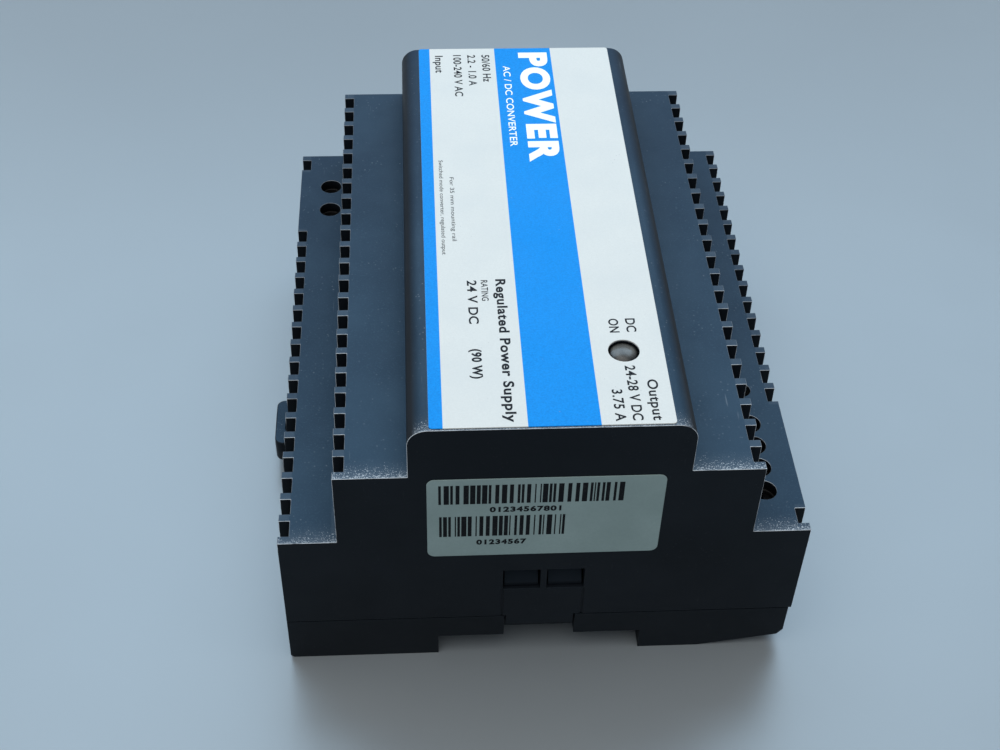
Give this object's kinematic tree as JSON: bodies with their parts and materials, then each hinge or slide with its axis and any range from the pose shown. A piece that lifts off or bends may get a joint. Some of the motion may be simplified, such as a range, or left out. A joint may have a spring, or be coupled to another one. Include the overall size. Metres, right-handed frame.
{
  "type": "DIN rail power supply",
  "caption": "DIN-rail power supply: stepped vented case that clips to a 35 mm rail, with screw terminals on both low decks, an indicator light and a voltage trimmer.",
  "frame": {"origin": "middle of the rail slot, on the plane of the back face", "axes": "+X across the rail from the latch to the fixed hooks, +Y along the rail, +Z away from the rail towards the front label"},
  "size_m": [0.0948, 0.1082, 0.0589],
  "materials": {
    "case_plastic": "fine matte texture, scuffed edges",
    "front_film": "satin printed film, blue and white bands",
    "serial_sticker": "matte grey-green paper sticker",
    "spring_steel": "bright wire",
    "board_laminate": "green solder mask",
    "insulating_film": "translucent film",
    "zinc_steel": "black zinc plated",
    "nickel_plate": "nickel plated",
    "tinned_copper": "tinned copper",
    "terminal_plastic": "moulded polyamide",
    "trimmer_blue": "moulded",
    "shaft_nylon": "moulded nylon",
    "led_epoxy": "smoky grey epoxy",
    "black_plastic": "moulded",
    "fuse_glass": "clear",
    "blue_epoxy": "dipped epoxy",
    "dark_epoxy": "dipped epoxy",
    "capacitor_yellow": "moulded box",
    "ferrite": "sintered ferrite",
    "iron_powder": "coated iron powder",
    "enamelled_copper": "enamelled wire",
    "winding_tape": "yellow tape",
    "sink_aluminium": "extruded",
    "moulded_epoxy": "moulded package",
    "capacitor_sleeve": "shrink sleeve",
    "resistor_body": "lacquered"
  },
  "bodies": {
    "housing": {"upper_case": "case_plastic", "base": "case_plastic", "front_label": "front_film", "serial_label": "serial_sticker", "latch_spring": "spring_steel", "input_terminal_block": "terminal_plastic", "output_terminal_block": "terminal_plastic", "led_lens": "led_epoxy", "main_board": "board_laminate", "insulation_sheet": "insulating_film", "board_screws": "zinc_steel", "input_contacts": "tinned_copper", "output_contacts": "tinned_copper", "trim_pot_body": "trimmer_blue", "led_spacer": "black_plastic", "led_leads": "tinned_copper", "fuse_tube": "fuse_glass", "fuse_caps": "nickel_plate", "fuse_clips": "tinned_copper", "varistor": "blue_epoxy", "inrush_thermistor": "dark_epoxy", "x_capacitor": "capacitor_yellow", "choke_core": "ferrite", "choke_windings": "enamelled_copper", "choke_base": "black_plastic", "bridge_rectifier": "moulded_epoxy", "bulk_capacitor": "capacitor_sleeve", "primary_heatsink": "sink_aluminium", "power_transistor": "moulded_epoxy", "secondary_heatsink": "sink_aluminium", "output_diode": "moulded_epoxy", "device_screws": "zinc_steel", "transformer_core": "ferrite", "transformer_bobbin": "black_plastic", "transformer_winding": "winding_tape", "inductor_core": "iron_powder", "inductor_winding": "enamelled_copper", "output_capacitors": "capacitor_sleeve", "optocoupler": "moulded_epoxy", "control_chip": "moulded_epoxy", "y_capacitor": "blue_epoxy", "power_resistors": "resistor_body"},
    "latch": {"din_latch": "case_plastic"},
    "trim_shaft": {"trim_pot_shaft": "shaft_nylon"},
    "input_screw_1": {"input_screw_1": "zinc_steel"},
    "input_clamp_1": {"input_clamp_1": "nickel_plate"},
    "input_screw_2": {"input_screw_2": "zinc_steel"},
    "input_clamp_2": {"input_clamp_2": "nickel_plate"},
    "output_screw_1": {"output_screw_1": "zinc_steel"},
    "output_clamp_1": {"output_clamp_1": "nickel_plate"},
    "output_screw_2": {"output_screw_2": "zinc_steel"},
    "output_clamp_2": {"output_clamp_2": "nickel_plate"},
    "output_screw_3": {"output_screw_3": "zinc_steel"},
    "output_clamp_3": {"output_clamp_3": "nickel_plate"},
    "output_screw_4": {"output_screw_4": "zinc_steel"},
    "output_clamp_4": {"output_clamp_4": "nickel_plate"}
  },
  "joints": [
    {"name": "latch_slide", "type": "slide", "parent": "housing", "child": "latch", "axis": [-1, 0, 0], "range_m": [0, 0.003], "stiffness_N_per_m": 300, "springref_m": -0.005, "deforming": ["latch_spring"]},
    {"name": "trim_turn", "type": "hinge", "parent": "housing", "child": "trim_shaft", "pos_m": [0.0386, -0.0203, 0.022], "axis": [0, 0, 1], "range_deg": [-130, 130]},
    {"name": "input_screw_1_turn", "type": "hinge", "parent": "housing", "child": "input_screw_1", "pos_m": [-0.0386, 0.0353, 0.0285], "axis": [0, 0, 1], "range_deg": [-2160, 0]},
    {"name": "input_clamp_1_rise", "type": "slide", "parent": "housing", "child": "input_clamp_1", "axis": [0, 0, 1], "range_m": [0, 0.003]},
    {"name": "input_screw_2_turn", "type": "hinge", "parent": "housing", "child": "input_screw_2", "pos_m": [-0.0386, 0.04305, 0.0285], "axis": [0, 0, 1], "range_deg": [-2160, 0]},
    {"name": "input_clamp_2_rise", "type": "slide", "parent": "housing", "child": "input_clamp_2", "axis": [0, 0, 1], "range_m": [0, 0.003]},
    {"name": "output_screw_1_turn", "type": "hinge", "parent": "housing", "child": "output_screw_1", "pos_m": [0.0386, -0.04485, 0.0285], "axis": [0, 0, 1], "range_deg": [-2160, 0]},
    {"name": "output_clamp_1_rise", "type": "slide", "parent": "housing", "child": "output_clamp_1", "axis": [0, 0, 1], "range_m": [0, 0.0027]},
    {"name": "output_screw_2_turn", "type": "hinge", "parent": "housing", "child": "output_screw_2", "pos_m": [0.0386, -0.03955, 0.0285], "axis": [0, 0, 1], "range_deg": [-2160, 0]},
    {"name": "output_clamp_2_rise", "type": "slide", "parent": "housing", "child": "output_clamp_2", "axis": [0, 0, 1], "range_m": [0, 0.0027]},
    {"name": "output_screw_3_turn", "type": "hinge", "parent": "housing", "child": "output_screw_3", "pos_m": [0.0386, -0.03425, 0.0285], "axis": [0, 0, 1], "range_deg": [-2160, 0]},
    {"name": "output_clamp_3_rise", "type": "slide", "parent": "housing", "child": "output_clamp_3", "axis": [0, 0, 1], "range_m": [0, 0.0027]},
    {"name": "output_screw_4_turn", "type": "hinge", "parent": "housing", "child": "output_screw_4", "pos_m": [0.0386, -0.02895, 0.0285], "axis": [0, 0, 1], "range_deg": [-2160, 0]},
    {"name": "output_clamp_4_rise", "type": "slide", "parent": "housing", "child": "output_clamp_4", "axis": [0, 0, 1], "range_m": [0, 0.0027]}
  ],
  "couplings": [
    {"joint": "input_screw_1_turn", "follows": "input_clamp_1_rise", "rad_per_m": -12566},
    {"joint": "input_screw_2_turn", "follows": "input_clamp_2_rise", "rad_per_m": -12566},
    {"joint": "output_screw_1_turn", "follows": "output_clamp_1_rise", "rad_per_m": -13963},
    {"joint": "output_screw_2_turn", "follows": "output_clamp_2_rise", "rad_per_m": -13963},
    {"joint": "output_screw_3_turn", "follows": "output_clamp_3_rise", "rad_per_m": -13963},
    {"joint": "output_screw_4_turn", "follows": "output_clamp_4_rise", "rad_per_m": -13963}
  ]
}
